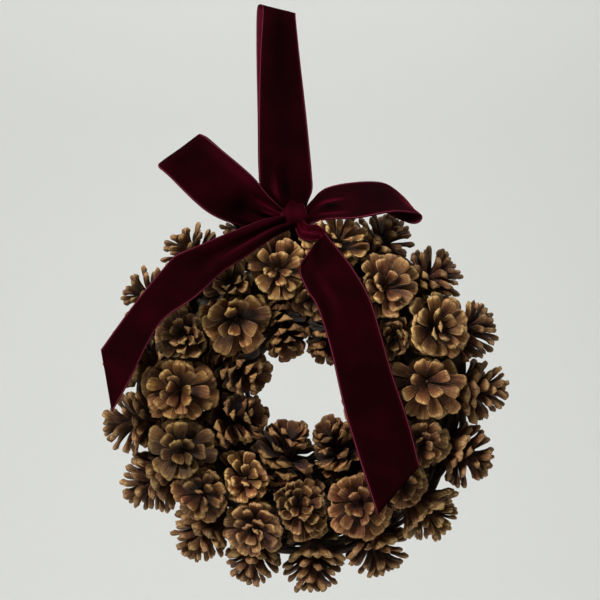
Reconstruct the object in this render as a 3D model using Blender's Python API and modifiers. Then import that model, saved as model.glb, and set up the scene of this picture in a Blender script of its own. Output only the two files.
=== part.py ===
"""Pinecone wreath: open cones on a ring of twisted vine, hung and tied with velvet ribbon.

The wreath hangs in the XZ plane and its front faces -Y. The origin is inside the top of the
ribbon loop, where a hook carries it. Lengths are in metres.

A cone's place is its clock angle round the ring (0 at the top, clockwise from the front) and its
tilt round the vine (0 points outward, 90 to the front, 180 into the hole).
"""

import itertools
import math
import random

import bmesh
import bpy
from mathutils import Vector
from mathutils.bvhtree import BVHTree

MM = 0.001
NAME = "pinecone_wreath"

# The ring of vine
CENTRE = Vector((0.025, 0.0, -0.344))
RING_RADIUS = 0.107
VINE_RADIUS = 0.0125
STRANDS = 4
STRAND_DEPTH = 0.0007
STRAND_TURNS = 7
RING_STEPS = 56
VINE_STEPS = 12

# Every cone: a stalk, a core that narrows to the crown, and rows of scales
STALK_RADIUS = 2.2 * MM
STALK_LENGTH = 4.0 * MM
CORE_RADIUS = 5.6 * MM
CORE_TAPER = 0.62
CORE_SHARE = 0.72
CROWN_HEIGHT = 3.0 * MM
CROWN_RADIUS = 3.4 * MM
SCALES_ROUND = 5
SCALE_ROWS = 5
TWIST_PER_ROW = 0.07
SEED = 12

# A scale: its lift from level and its reach from the lowest row to the top, its width and rim
LOW_LIFT = math.radians(-8)
LIFT_GAIN = math.radians(34)
LIFT_CURVE = math.radians(34)
LIFT_SPREAD = 0.08
LOW_REACH = 0.94
REACH_GAIN = 0.22
REACH_CURVE = -0.36
LENGTH_SPREAD = 0.06
ANGLE_SPREAD = 0.06
HALF_WIDTH_SHARE = 0.165
TOP_NARROWING = 0.4
SCALE_THICKNESS = 4.4 * MM
TOP_THINNING = 0.35
LOWER_SHARE = 0.55
TIP_SHARE = 0.16
SHORTENING_STEP = 0.08
SHORTEST = 0.12

# Gaps between the pieces, and how two cones are parted
CLEARANCE = 0.3 * MM
SEAT_GAP = 0.45 * MM
CORE_GAP = 0.6 * MM
BARK_GAP = 1.2 * MM
RIBBON_GAP = 1.5 * MM
NEIGHBOUR_REACH = 30.0 * MM
CORE_POINTS = 12
PLANE_TURNS = 8

# The ribbon
RIBBON_THICKNESS = 1.2 * MM
WRAP_CLOCK = math.radians(-1.0)
WRAP_RADIUS = 14.6 * MM
WRAP_HALF_WIDTH = 7.5 * MM
WRAP_STEPS = 4

# Each cone: clock angle, tilt, length, width in mm, and lean along the ring
FRONT_CONES = [
    (-11, 77, 50, 65, 0),
    (-39, 106, 50, 69, 0),
    (-85, 89, 52, 68, 0),
    (-113, 82, 52, 68, 0),
    (-145, 117, 46, 58, 0),
    (-134, 72, 50, 62, 0),
    (-179, 108, 48, 58, 0),
    (-160, 73, 50, 62, 0),
    (150, 94, 52, 66, 0),
    (35, 70, 50, 68, 0),
    (61, 59, 54, 72, 0),
    (80.5, 86, 50, 71, 0),
    (109, 86, 48, 58, 0),
    (-61, 74, 48, 58, 0),
    (14, 44, 52, 62, 0),
    (55, 100, 46, 56, 0),
    (-32, 70, 46, 56, 0),
    (9, 112, 44, 52, -8),
    (129, 80, 46, 56, 0),
    (25, 94, 44, 52, 0),
]
OUTER_CONES = [
    (-38, 6, 68, 66, 0),
    (-58, 4, 70, 66, 0),
    (-79, 0, 62, 62, 0),
    (-100, 10, 64, 64, 0),
    (-121, 5, 66, 66, 0),
    (-145, 8, 63, 64, 0),
    (-164, 6, 62, 62, 0),
    (176, 12, 61, 66, 0),
    (154, 6, 63, 64, 0),
    (132, 16, 59, 64, 0),
    (110, 8, 64, 66, 0),
    (88, 5, 66, 66, 0),
    (68, 5, 67, 66, 0),
    (47, 8, 64, 66, 0),
    (26, 4, 63, 62, 10),
    (-20, -8, 54, 58, 0),
]
INNER_CONES = [
    (-15, 148, 66, 60, 0),
    (-65, 152, 67, 62, 0),
    (-110, 151, 64, 64, 0),
    (-164, 160, 78, 66, 0),
    (145, 159, 72, 62, 0),
    (24, 158, 66, 56, 0),
    (62, 152, 56, 56, 0),
    (102, 152, 60, 60, 0),
]

# The ribbon's two edges at stations along it, in mm, as (one edge, the other edge)
STRAP_FRONT = [
    ((-16, 0, 3.5), (16, 0, -5)),
    ((-13, -6, -2), (16.5, -6, -10)),
    ((-15, -8, -40), (20.5, -8, -45)),
    ((-16, -9, -98), (27, -9, -98)),
    ((-15.5, -10.5, -142), (32, -10.5, -146)),
    ((-13, -10.5, -164), (32.5, -10, -160)),
    ((1, -9, -173), (29, -9, -170)),
    ((11, -8.2, -179), (25.3, -8.2, -177.5)),
    ((11, -8.2, -196), (25.3, -8.2, -196)),
    ((14, -11, -214), (28, -11, -214)),
]
STRAP_BACK = [
    ((14, 9, -214), (28, 9, -214)),
    ((11, -4.4, -196), (25.3, -4.4, -196)),
    ((11, -4.4, -179), (25.3, -4.4, -177.5)),
    ((0, -4, -172), (29, -4, -170)),
    ((-13, -3.5, -160), (31, -3.5, -160)),
    ((-16, -2, -142), (31, -2, -146)),
    ((-17, 2, -98), (26.5, 2, -98)),
    ((-18.5, 5, -40), (19, 5, -45)),
    ((-18.5, 6, -3), (16, 6, -11)),
]
LEFT_LOOP = [
    ((10, -18, -181), (10, -18, -192)),
    ((-7, -25, -164), (-26, -26, -192)),
    ((-22, -33, -146), (-59, -36, -180)),
    ((-57, -34, -117), (-94, -36, -148)),
    ((-64.2, -32, -112), (-102, -34, -141.5)),
    ((-67.5, -27, -111.5), (-102.5, -29, -138)),
    ((-64.2, -22, -112.3), (-102, -24, -141.2)),
    ((-57, -18, -117), (-94, -20, -147)),
    ((-32, -16, -140), (-60, -18, -178)),
    ((-5, -16, -170), (-26, -16, -191)),
    ((12, -14.5, -181), (12, -14.5, -192)),
]
RIGHT_LOOP = [
    ((24, -19, -180), (24, -19, -191)),
    ((38, -20, -161), (40, -38, -185.5)),
    ((66, -22, -153), (70, -54, -183)),
    ((97, -24, -153.5), (104, -60, -177)),
    ((120, -24, -173), (126, -57, -179.5)),
    ((108, -18, -168), (119, -50, -188)),
    ((70, -15, -165), (82, -38, -180)),
    ((42, -14, -172), (44, -24, -187)),
    ((24, -14.5, -181), (24, -14.5, -191)),
]
LEFT_TAIL = [
    ((12, -22, -182), (18, -22, -191)),
    ((-12, -42, -187), (-2, -50, -201)),
    ((-39, -54, -197), (-24, -64, -216)),
    ((-63, -60, -207), (-45, -69, -230)),
    ((-84, -64, -215), (-67, -71, -251)),
    ((-94, -65, -225), (-95, -71, -271)),
    ((-117, -65, -253), (-109, -70, -293)),
    ((-134, -62, -276), (-124, -66, -324)),
    ((-150.5, -56, -299), (-141, -58, -354)),
]
RIGHT_TAIL = [
    ((17, -22, -192), (27, -22, -187)),
    ((22, -30, -206), (34, -31, -193)),
    ((27, -44, -222), (46, -44, -197)),
    ((21.6, -65, -230), (47.5, -57, -202)),
    ((27, -69, -243), (66, -64, -223)),
    ((36, -71, -257), (82, -69, -250)),
    ((43, -72, -276), (92, -71, -280)),
    ((50, -72, -300), (102, -71, -314)),
    ((64, -72, -357), (117, -71, -357)),
    ((91, -73, -440), (127.5, -72, -396)),
]
KNOT_CENTRE = Vector((18.0, -18.0, -186.0)) * MM
KNOT_SIZE = Vector((26.9, 14.6, 23.5)) * MM
KNOT_ROUNDING = 0.55
BELT_CENTRE = Vector((18.15, -6.3, -186.0)) * MM
BELT_INSIDE = Vector((7.65, 2.95)) * MM
BELT_CORNER = 1.2 * MM
BELT_THICKNESS = 2.4 * MM
BELT_HEIGHT = 12.0 * MM


def new_collection(name):
    collection = bpy.data.collections.new(name)
    bpy.context.scene.collection.children.link(collection)
    return collection


def material(name, colour, roughness):
    made = bpy.data.materials.new(name)
    made.use_nodes = True
    shader = made.node_tree.nodes["Principled BSDF"]
    shader.inputs["Base Color"].default_value = (*colour, 1.0)
    shader.inputs["Roughness"].default_value = roughness
    shader.inputs["Metallic"].default_value = 0.0
    return made


def new_object(name, bm, collection, made_of):
    mesh = bpy.data.meshes.new(name)
    bmesh.ops.recalc_face_normals(bm, faces=bm.faces)
    bm.to_mesh(mesh)
    bm.free()
    mesh.materials.append(made_of)
    obj = bpy.data.objects.new(name, mesh)
    collection.objects.link(obj)
    return obj


def directions(clock, tilt):
    """A unit vector along a cone's axis, and the one along the ring there."""
    outward = Vector((math.sin(clock), 0.0, math.cos(clock)))
    along = Vector((math.cos(clock), 0.0, -math.sin(clock)))
    axis = math.cos(tilt) * outward + math.sin(tilt) * Vector((0.0, -1.0, 0.0))
    return axis, along


def vine_centre(clock):
    return CENTRE + RING_RADIUS * Vector((math.sin(clock), 0.0, math.cos(clock)))


def vine_ring(collection, made_of):
    """Bundled strands of vine: a torus whose section has a lobe for each strand, turning along it."""
    bm = bmesh.new()
    sections = []
    for i in range(RING_STEPS):
        clock = 2 * math.pi * i / RING_STEPS
        section = []
        for j in range(VINE_STEPS):
            tilt = 2 * math.pi * j / VINE_STEPS
            lobe = math.cos(STRANDS * tilt + STRAND_TURNS * clock)
            axis, _ = directions(clock, tilt)
            place = vine_centre(clock) + (VINE_RADIUS + STRAND_DEPTH * lobe) * axis
            section.append(bm.verts.new(place))
        sections.append(section)
    for i in range(RING_STEPS):
        here, there = sections[i], sections[(i + 1) % RING_STEPS]
        for j in range(VINE_STEPS):
            k = (j + 1) % VINE_STEPS
            bm.faces.new((here[j], here[k], there[k], there[j]))
    bmesh.ops.triangulate(bm, faces=bm.faces)
    return new_object("vine_ring", bm, collection, made_of)


def smooth(points, per_span, closed):
    """A curve through the points, with per_span steps from each to the next."""
    last = len(points) - 1
    spans = len(points) if closed else last
    found = []
    for i in range(spans):
        if closed:
            a, b, c, d = (points[(i + k) % len(points)] for k in (-1, 0, 1, 2))
        else:
            a, b, c, d = (points[min(max(i + k, 0), last)] for k in (-1, 0, 1, 2))
        for s in range(per_span):
            t = s / per_span
            bend = (c - a) * t + (2 * a - 5 * b + 4 * c - d) * t**2
            bend += (3 * b - a - 3 * c + d) * t**3
            found.append(b + 0.5 * bend)
    if not closed:
        found.append(points[last])
    return found


def ribbon_strip(name, stations, per_span, closed, collection, made_of):
    """A strip between the two edges, thickened evenly to both sides."""
    first = smooth([Vector(s[0]) * MM for s in stations], per_span, closed)
    second = smooth([Vector(s[1]) * MM for s in stations], per_span, closed)
    bm = bmesh.new()
    rows = []
    for a, b in zip(first, second):
        rows.append([bm.verts.new(p) for p in (a, (a + b) / 2, b)])
    for i in range(len(rows) if closed else len(rows) - 1):
        here, there = rows[i], rows[(i + 1) % len(rows)]
        for k in range(2):
            bm.faces.new((here[k], here[k + 1], there[k + 1], there[k]))
    strip = new_object(name, bm, collection, made_of)
    shell = strip.modifiers.new("Thickness", "SOLIDIFY")
    shell.thickness = RIBBON_THICKNESS
    shell.offset = 0.0
    return strip


def hanging_ribbon(collection, made_of):
    """The strap: down the front, gathered at the knot, round the vine and back up behind."""
    middle = vine_centre(WRAP_CLOCK)
    wrap = []
    for step in range(WRAP_STEPS + 1):
        turn = math.pi * step / WRAP_STEPS
        y = -WRAP_RADIUS * math.cos(turn) / MM
        z = (middle.z - WRAP_RADIUS * math.sin(turn)) / MM
        left = (middle.x - WRAP_HALF_WIDTH) / MM
        right = (middle.x + WRAP_HALF_WIDTH) / MM
        wrap.append(((left, y, z), (right, y, z)))
    stations = STRAP_FRONT + wrap + STRAP_BACK
    return ribbon_strip("hanging_ribbon", stations, 2, True, collection, made_of)


def belt(collection, made_of):
    """The turn of ribbon round the gathered strap, at the back of the knot."""
    x = BELT_INSIDE.x + BELT_THICKNESS / 2
    y = BELT_INSIDE.y + BELT_THICKNESS / 2
    c = BELT_CORNER
    quarter = [(x, y - c), (x - c, y)]
    outline = quarter + [(-u, v) for u, v in reversed(quarter)]
    outline += [(-u, -v) for u, v in outline]
    bm = bmesh.new()
    half = Vector((0.0, 0.0, BELT_HEIGHT / 2))
    lower = [bm.verts.new(BELT_CENTRE + Vector((u, v, 0.0)) - half) for u, v in outline]
    upper = [bm.verts.new(BELT_CENTRE + Vector((u, v, 0.0)) + half) for u, v in outline]
    for i in range(len(outline)):
        k = (i + 1) % len(outline)
        bm.faces.new((lower[i], lower[k], upper[k], upper[i]))
    band = new_object("belt", bm, collection, made_of)
    shell = band.modifiers.new("Thickness", "SOLIDIFY")
    shell.thickness = BELT_THICKNESS
    shell.offset = 0.0
    shell.use_even_offset = True
    return band


def knot(collection, made_of):
    """The pulled-tight front of the knot: a block with soft corners."""
    bm = bmesh.new()
    bmesh.ops.create_cube(bm, size=1.0)
    bmesh.ops.subdivide_edges(bm, edges=bm.edges, cuts=2, use_grid_fill=True)
    for vert in bm.verts:
        round_part = vert.co.normalized() * 0.5
        vert.co = KNOT_CENTRE + vert.co.lerp(round_part, KNOT_ROUNDING) * KNOT_SIZE
    return new_object("knot", bm, collection, made_of)


def bow(collection, made_of):
    """Two loops, a knot and two tails, which are one ribbon, joined into one solid."""
    pieces = bpy.data.collections.new("bow_pieces")
    bpy.context.scene.collection.children.link(pieces)
    ribbon_strip("left_loop", LEFT_LOOP, 2, False, pieces, made_of)
    ribbon_strip("right_loop", RIGHT_LOOP, 2, False, pieces, made_of)
    ribbon_strip("left_tail", LEFT_TAIL, 2, False, pieces, made_of)
    ribbon_strip("right_tail", RIGHT_TAIL, 2, False, pieces, made_of)
    belt(pieces, made_of)
    start = knot(collection, made_of)
    start.name = "bow"
    join = start.modifiers.new("Join", "BOOLEAN")
    join.operation = "UNION"
    join.operand_type = "COLLECTION"
    join.collection = pieces
    depsgraph = bpy.context.evaluated_depsgraph_get()
    mesh = bpy.data.meshes.new_from_object(start.evaluated_get(depsgraph))
    start.modifiers.clear()
    start.data = mesh
    for piece in list(pieces.objects):
        bpy.data.objects.remove(piece)
    bpy.data.collections.remove(pieces)
    return start


def surface_tree(objects):
    """All the objects' surfaces in one search tree."""
    depsgraph = bpy.context.evaluated_depsgraph_get()
    points, faces = [], []
    for obj in objects:
        mesh = obj.evaluated_get(depsgraph).to_mesh()
        start = len(points)
        points += [v.co.copy() for v in mesh.vertices]
        faces += [[start + k for k in p.vertices] for p in mesh.polygons]
    return BVHTree.FromPolygons(points, faces)


class Cone:
    """A cone's place and size, with a frame at its foot: side and front across, axis along."""

    def __init__(self, name, clock, tilt, length, width, lean, spin, vine):
        self.name = name
        self.length = length * MM
        self.width = width * MM
        clock, tilt = math.radians(clock), math.radians(tilt)
        straight, along = directions(clock, tilt)
        self.axis = (straight + math.tan(math.radians(lean)) * along).normalized()
        side = (along - along.dot(self.axis) * self.axis).normalized()
        front = self.axis.cross(side)
        self.side = math.cos(spin) * side + math.sin(spin) * front
        self.front = self.axis.cross(self.side)
        self.foot = vine_centre(clock) + self.seat(vine, clock) * self.axis
        self.planes = []

    def seat(self, vine, clock):
        """How far from the middle of the vine the stalk's end is clear of the bark."""
        reach = 0.0
        for turn in [None, *range(SCALES_ROUND)]:
            start = vine_centre(clock)
            if turn is not None:
                angle = 2 * math.pi * turn / SCALES_ROUND
                start = start + STALK_RADIUS * (
                    math.cos(angle) * self.side + math.sin(angle) * self.front
                )
            _, _, _, distance = vine.ray_cast(start, self.axis)
            reach = max(reach, distance)
        return reach + SEAT_GAP

    def place(self, radius, angle, height):
        across = math.cos(angle) * self.side + math.sin(angle) * self.front
        return self.foot + radius * across + height * self.axis

    def core(self, share):
        """The core's radius at a share of its length."""
        return CORE_RADIUS * (1.0 - CORE_TAPER * share**2)

    def backbone(self):
        """Points inside the core with the radius that they need clear round them."""
        top = CORE_SHARE * self.length
        return [
            (self.foot, STALK_RADIUS + CORE_GAP),
            (self.foot + STALK_LENGTH * self.axis, self.core(0.0) + CORE_GAP),
            (self.foot + 0.5 * top * self.axis, self.core(0.5) + CORE_GAP),
            (self.foot + (top + CROWN_HEIGHT) * self.axis, CROWN_RADIUS + CORE_GAP),
        ]

    def body(self):
        return self.foot + 0.5 * self.length * self.axis


def closest_between(a, b):
    """The direction of the shortest line from one cone's core to the other's."""
    shares = [CORE_SHARE * i / CORE_POINTS for i in range(CORE_POINTS + 1)]
    firsts = [a.foot + share * a.length * a.axis for share in shares]
    seconds = [b.foot + share * b.length * b.axis for share in shares]
    lines = [q - p for p in firsts for q in seconds]
    return min(lines, key=lambda line: line.length).normalized()


def parting_plane(a, b):
    """A plane between two cones that leaves both cores whole: its normal and distance.

    It faces from one body to the other, or, where that would cut a core, turns step by step
    towards the shortest line between the cores.
    """
    bodies = b.body() - a.body()
    near = closest_between(a, b)
    wanted = a.body() + a.width / (a.width + b.width) * bodies
    for step in range(PLANE_TURNS + 1):
        normal = bodies.normalized().lerp(near, step / PLANE_TURNS).normalized()
        low = max(normal.dot(p) + r for p, r in a.backbone())
        high = min(normal.dot(p) - r for p, r in b.backbone())
        if high - low > CLEARANCE:
            break
    return normal, min(max(normal.dot(wanted), low), high)


def part_cones(cones):
    for i, a in enumerate(cones):
        for b in cones[i + 1 :]:
            if (a.body() - b.body()).length > (a.length + b.length) / 2 + NEIGHBOUR_REACH:
                continue
            normal, distance = parting_plane(a, b)
            a.planes.append((normal, distance - CLEARANCE / 2))
            b.planes.append((-normal, -distance - CLEARANCE / 2))


def clear_of_vine(point):
    """How far a point is from the bark."""
    flat = Vector((point.x - CENTRE.x, 0.0, point.z - CENTRE.z))
    across = flat.length - RING_RADIUS
    return math.hypot(across, point.y) - VINE_RADIUS - STRAND_DEPTH


def fits(cone, root, rim, ribbons):
    """Whether a scale keeps inside its cone's own space, off the vine and off the ribbons."""
    for point in rim:
        if any(normal.dot(point) > distance for normal, distance in cone.planes):
            return False
        if clear_of_vine(point) < BARK_GAP:
            return False
        if ribbons.find_nearest(point)[3] < RIBBON_GAP:
            return False
    lines = [(root, point) for point in rim] + list(itertools.combinations(rim, 2))
    for start, end in lines:
        way = end - start
        if ribbons.ray_cast(start, way.normalized(), way.length)[0] is not None:
            return False
    return True


def scale_rim(cone, row, angle, root_height, draw):
    """The four corners of a scale's outer end: lower, right, tip and left."""
    share = row / (SCALE_ROWS - 1)
    lift = LOW_LIFT + LIFT_GAIN * share + LIFT_CURVE * share**2
    lift += draw.uniform(-LIFT_SPREAD, LIFT_SPREAD)
    reach = LOW_REACH + REACH_GAIN * share + REACH_CURVE * share**2
    reach *= cone.width / 2 - CORE_RADIUS
    reach *= draw.uniform(1 - LENGTH_SPREAD, 1 + LENGTH_SPREAD)
    half = HALF_WIDTH_SHARE * cone.width * (1.0 - TOP_NARROWING * share)
    thick = SCALE_THICKNESS * (1.0 - TOP_THINNING * share)
    angle += draw.uniform(-ANGLE_SPREAD, ANGLE_SPREAD)
    out = math.cos(angle) * cone.side + math.sin(angle) * cone.front
    across = cone.axis.cross(out)
    along = math.cos(lift) * out + math.sin(lift) * cone.axis
    up = math.cos(lift) * cone.axis - math.sin(lift) * out
    middle = cone.place(cone.core(share), angle, root_height) + reach * along
    lower = middle - LOWER_SHARE * thick * up
    tip = middle + (1.0 - LOWER_SHARE) * thick * up + TIP_SHARE * reach * along
    return [lower, middle + half * across, tip, middle - half * across]


def make_cone(cone, ribbons, collection, made_of, draw):
    """Rows of scales drawn out of the diamonds of a slim core, each row turned by half a step."""
    bm = bmesh.new()
    step = 2 * math.pi / SCALES_ROUND
    half_turn = 0.5 + TWIST_PER_ROW
    top = CORE_SHARE * cone.length

    def ring(radius, index, height):
        angles = [(k + half_turn * index) * step for k in range(SCALES_ROUND)]
        return [bm.verts.new(cone.place(radius, angle, height)) for angle in angles]

    stalk = ring(STALK_RADIUS, 0, 0.0)
    rings = []
    for i in range(SCALE_ROWS + 2):
        share = i / (SCALE_ROWS + 1)
        rings.append(ring(cone.core(share), i, STALK_LENGTH + (top - STALK_LENGTH) * share))
    crown = bm.verts.new(cone.place(0.0, 0.0, top + CROWN_HEIGHT))
    last = rings[-1]
    scales = []
    bm.faces.new(stalk)
    for k in range(SCALES_ROUND):
        after = (k + 1) % SCALES_ROUND
        bm.faces.new((stalk[k], stalk[after], rings[0][after], rings[0][k]))
        bm.faces.new((rings[0][k], rings[0][after], rings[1][k]))
        bm.faces.new((last[k], rings[-2][after], last[after]))
        bm.faces.new((last[k], last[after], crown))
        for row in range(SCALE_ROWS):
            below, here, above = rings[row : row + 3]
            face = bm.faces.new((below[after], here[after], above[k], here[k]))
            scales.append((row, (k + 0.5 + half_turn * (row + 1)) * step, face))
    for row, angle, face in scales:
        root = face.calc_center_median()
        rim = scale_rim(cone, row, angle, (root - cone.foot).dot(cone.axis), draw)
        share = 1.0
        drawn = rim
        while share > SHORTEST and not fits(cone, root, drawn, ribbons):
            share -= SHORTENING_STEP
            drawn = [root + share * (point - root) for point in rim]
        end = bmesh.ops.extrude_discrete_faces(bm, faces=[face])["faces"][0]
        for vert, point in zip(end.verts, drawn):
            vert.co = point
    return new_object(cone.name, bm, collection, made_of)


def main():
    for obj in list(bpy.data.objects):
        bpy.data.objects.remove(obj)
    wreath = new_collection(NAME)
    cone_brown = material("cone_scales", (0.23, 0.13, 0.065), 0.75)
    vine_bark = material("vine_bark", (0.12, 0.085, 0.055), 0.85)
    velvet = material("burgundy_velvet", (0.045, 0.003, 0.008), 0.8)
    ring = vine_ring(wreath, vine_bark)
    strap = hanging_ribbon(wreath, velvet)
    tied = bow(wreath, velvet)
    vine = surface_tree([ring])
    ribbons = surface_tree([strap, tied])
    draw = random.Random(SEED)
    cones = []
    groups = (("front", FRONT_CONES), ("outer", OUTER_CONES), ("inner", INNER_CONES))
    for group, listed in groups:
        for number, sizes in enumerate(listed, 1):
            name = f"cone_{group}_{number:02d}"
            cones.append(Cone(name, *sizes, draw.uniform(0, math.tau), vine))
    part_cones(cones)
    for cone in cones:
        make_cone(cone, ribbons, wreath, cone_brown, draw)


main()
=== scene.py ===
"""The looks of the pinecone wreath: open cones with all their scales, twisted vine, velvet ribbon.

Lengths are in metres; the tables of cones and ribbons are in millimetres and degrees. The wreath
hangs in the XZ plane and faces -Y. Each cone, the vine and the strap replace one node of the frame,
and the five pieces of the bow share one.
"""

import math
import random

import bpy
import numpy as np
from mathutils import Matrix, Vector, noise
from mathutils.bvhtree import BVHTree


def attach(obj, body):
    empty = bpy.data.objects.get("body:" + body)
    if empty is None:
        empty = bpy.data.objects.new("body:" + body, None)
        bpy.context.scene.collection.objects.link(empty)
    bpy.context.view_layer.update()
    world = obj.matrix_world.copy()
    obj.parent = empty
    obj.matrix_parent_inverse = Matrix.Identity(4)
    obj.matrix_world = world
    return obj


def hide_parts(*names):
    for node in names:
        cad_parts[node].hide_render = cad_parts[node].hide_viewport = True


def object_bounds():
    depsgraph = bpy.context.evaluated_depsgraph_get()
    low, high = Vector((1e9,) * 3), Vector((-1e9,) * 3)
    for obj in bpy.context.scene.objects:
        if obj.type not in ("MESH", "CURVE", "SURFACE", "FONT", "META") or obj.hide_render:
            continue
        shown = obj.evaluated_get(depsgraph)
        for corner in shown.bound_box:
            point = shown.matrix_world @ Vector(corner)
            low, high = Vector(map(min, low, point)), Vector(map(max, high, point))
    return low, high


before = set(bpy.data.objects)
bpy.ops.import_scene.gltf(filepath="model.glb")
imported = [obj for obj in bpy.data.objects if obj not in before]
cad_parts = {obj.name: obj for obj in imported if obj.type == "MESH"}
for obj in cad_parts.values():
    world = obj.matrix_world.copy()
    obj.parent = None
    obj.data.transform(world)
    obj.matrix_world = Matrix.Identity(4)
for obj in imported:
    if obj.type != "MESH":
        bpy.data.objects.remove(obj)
cad_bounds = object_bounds()

MM = 0.001

# The ring of vine, as in the frame
CENTRE = Vector((0.025, 0.0, -0.344))
RING_RADIUS = 0.107
VINE_RADIUS = 0.0132
STRANDS = 4
STRAND_TURNS = 7
STRAND_RADIUS = 6.3 * MM
STRAND_OFFSET = 6.5 * MM
STRAND_STEPS = 260
STRAND_SIDES = 10
STRAND_ROUGH = 0.12
STRAND_TONE = 7.3

# The loose shoots behind the ring: where they run, their depths and thicknesses in mm, and how they
# sway
SHOOTS = 73
SHOOT_STEPS = 180
SHOOTS_FROM = 55 * MM
SHOOTS_TO = 147 * MM
SHOOTS_BEHIND = 5 * MM
SHOOT_SIDES = 6
SHOOT_SEED = 17
SHOOT_DEPTHS = (9.0, 15.0)
SHOOT_THICKNESS = (2.0, 3.2)
SHOOT_SWAYS = (2, 3, 5)
SHOOT_SWAY = 6.5 * MM
SHOOT_QUIVERS = 11
SHOOT_QUIVER = 1.2 * MM
SHOOT_RISE = 3.0 * MM
SHOOT_ROUGH = 0.25
SHOOT_TONE = 3.1

# The lumps of the bark: how many to a metre, and how far from the middle they are read
LUMPS = 160.0
LUMP_REACH = 0.006

# A cone's stalk and core, as in the frame, and how cones keep clear of what is round them
STALK_RADIUS = 2.2 * MM
STALK_LENGTH = 4.0 * MM
STALK_SINK = 1.5 * MM
STALK_STRAIGHT = 0.6
CORE_RADIUS = 5.6 * MM
CORE_TAPER = 0.62
CORE_SHARE = 0.72
CROWN_HEIGHT = 3.0 * MM
CROWN_RADIUS = 3.4 * MM
CROWN_END = 0.4
CORE_GAP = 0.6 * MM
CORE_SIDES = 10
CORE_ROWS = 8
CLEARANCE = 0.3 * MM
NEIGHBOUR_REACH = 30.0 * MM
CORE_POINTS = 12
PLANE_TURNS = 8
BARK_GAP = 0.8 * MM
RIBBON_GAP = 0.9 * MM
BACK_LIMIT = cad_bounds[1][1] + 0.5 * MM

# The scales of a cone follow each other round the core by the golden angle, and lift more up the
# core. Those lower down than SPREAD_SHARE may be longer, and those thicker than STOUT are stout
CONE_SEED = 31
GOLDEN_ANGLE = math.pi * (3.0 - math.sqrt(5.0))
LOW_LIFT = math.radians(-9)
LIFT_GAIN = math.radians(30)
LIFT_CURVE = math.radians(50)
FIRST_HEIGHT = 0.08
HEIGHT_SHARE = 0.9
REACH_FOOT = 0.96
REACH_GAIN = 0.22
REACH_CURVE = 0.40
TOP_DROP = 0.22
TOP_FROM = 0.8
TOP_SPAN = 0.2
ROOT_SINK = 1.2 * MM
SPREAD_SHARE = 0.45
THINNING = 0.3
STOUT = 5.0

# What each scale's own form is drawn from: turn, lift, twist and phase in radians, curl and bend in
# degrees, wave in mm, and the rest as shares
DRAWN = dict(
    turn=(-0.14, 0.14), lift=(-0.12, 0.12), length=(0.94, 1.13), width=(0.8, 1.18),
    thick=(0.85, 1.15), ragged=(0.0, 0.03), curl=(-8, 8), bend=(18, 30), shell=(-0.2, 0.2),
    cup=(0.28, 0.5), twist=(-0.22, 0.22), skew=(-0.08, 0.08), wave=(0.2, 0.75),
    phase=(0.0, math.tau), tone=(0.0, 1.0),
)

# One scale from its root to its tip: the place of each row, and its width, thickness and cup there
ALONG = np.array([0.0, 0.14, 0.30, 0.47, 0.62, 0.75, 0.86, 0.94, 0.985])
FAN_WIDTH = np.array([0.30, 0.33, 0.44, 0.62, 0.80, 0.94, 1.0, 0.93, 0.68])
STOUT_WIDTH = np.array([0.80, 0.76, 0.76, 0.82, 0.92, 1.0, 0.98, 0.80, 0.46])
THIN_END = np.array([0.60, 0.46, 0.34, 0.30, 0.34, 0.50, 0.82, 1.0, 0.70])
STOUT_END = np.array([1.1, 1.0, 0.86, 0.76, 0.74, 0.84, 0.90, 0.74, 0.42])
SHELL_CUP = np.array([0.2, 0.4, 0.7, 0.95, 1.0, 0.95, 0.85, 0.75, 0.65])
PILLOW_CUP = np.array([0.2, 0.4, 0.65, 0.7, 0.45, 0.05, -0.35, -0.6, -0.6])
LIP = np.array([0.0, 0.0, 0.0, 0.0, 0.0, 0.0, 0.05, 0.17, 0.22])
BENT_BACK = np.clip((ALONG - 0.68) / 0.32, 0.0, 1.0)
RIDGE_ROWS = np.exp(-(((ALONG - 0.88) / 0.08) ** 2))
ROUND = 16
TURNS = np.arange(ROUND) * 2 * math.pi / ROUND
ACROSS = np.cos(TURNS)
FACING = np.sign(np.round(np.sin(TURNS), 6))
EDGES = np.abs(ACROSS)
TOP_SWELL = np.interp(EDGES, [0.0, 0.5, 0.9, 1.0], [0.36, 0.31, 0.20, 0.0])
LOW_SWELL = 0.9 * (1.0 - EDGES)
FAN_SWELL = np.where(FACING > 0, TOP_SWELL, -LOW_SWELL)
OVAL_SWELL = np.where(FACING > 0, 0.42, -0.58) * (1.0 - EDGES**1.7)
KEEL = np.where(FACING < 0, 1.0, 0.0) * np.maximum(0.0, 1.0 - EDGES / 0.6)
KEEL_HEIGHT = 0.25
CUP_LEVEL = 0.3
WIDTH_KEPT = 0.75
BEND_MIDDLE = 0.45
WAVES = 3.8
NOTCHES = 5.0
TIP_SHARE = 0.015

# Ways to make a scale fit, tried in turn: extra lift in degrees, and length
FITTINGS = [
    (0, 1.0), (5, 1.0), (-5, 1.0), (9, 0.96), (-9, 0.96), (14, 0.94), (0, 0.92), (19, 0.9),
    (-13, 0.9), (25, 0.88), (6, 0.86), (-18, 0.84), (0, 0.8), (30, 0.8), (0, 0.7), (12, 0.7),
    (0, 0.6), (0, 0.5), (0, 0.4), (0, 0.3), (0, 0.2),
]

# A scale's points that are tested against ribbons and vines, as (row, place round it), and those
# tested against the whole ring
HALFWAY, QUARTER = ROUND // 2, ROUND // 4
RIM_PLACES = [
    (6, 0), (6, HALFWAY), (7, QUARTER), (7, HALFWAY + QUARTER), (5, 0), (5, HALFWAY), (9, 0),
]
RIM_POINTS = [row * ROUND + place for row, place in RIM_PLACES]
OUTER_POINTS = slice(4 * ROUND, None)

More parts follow.
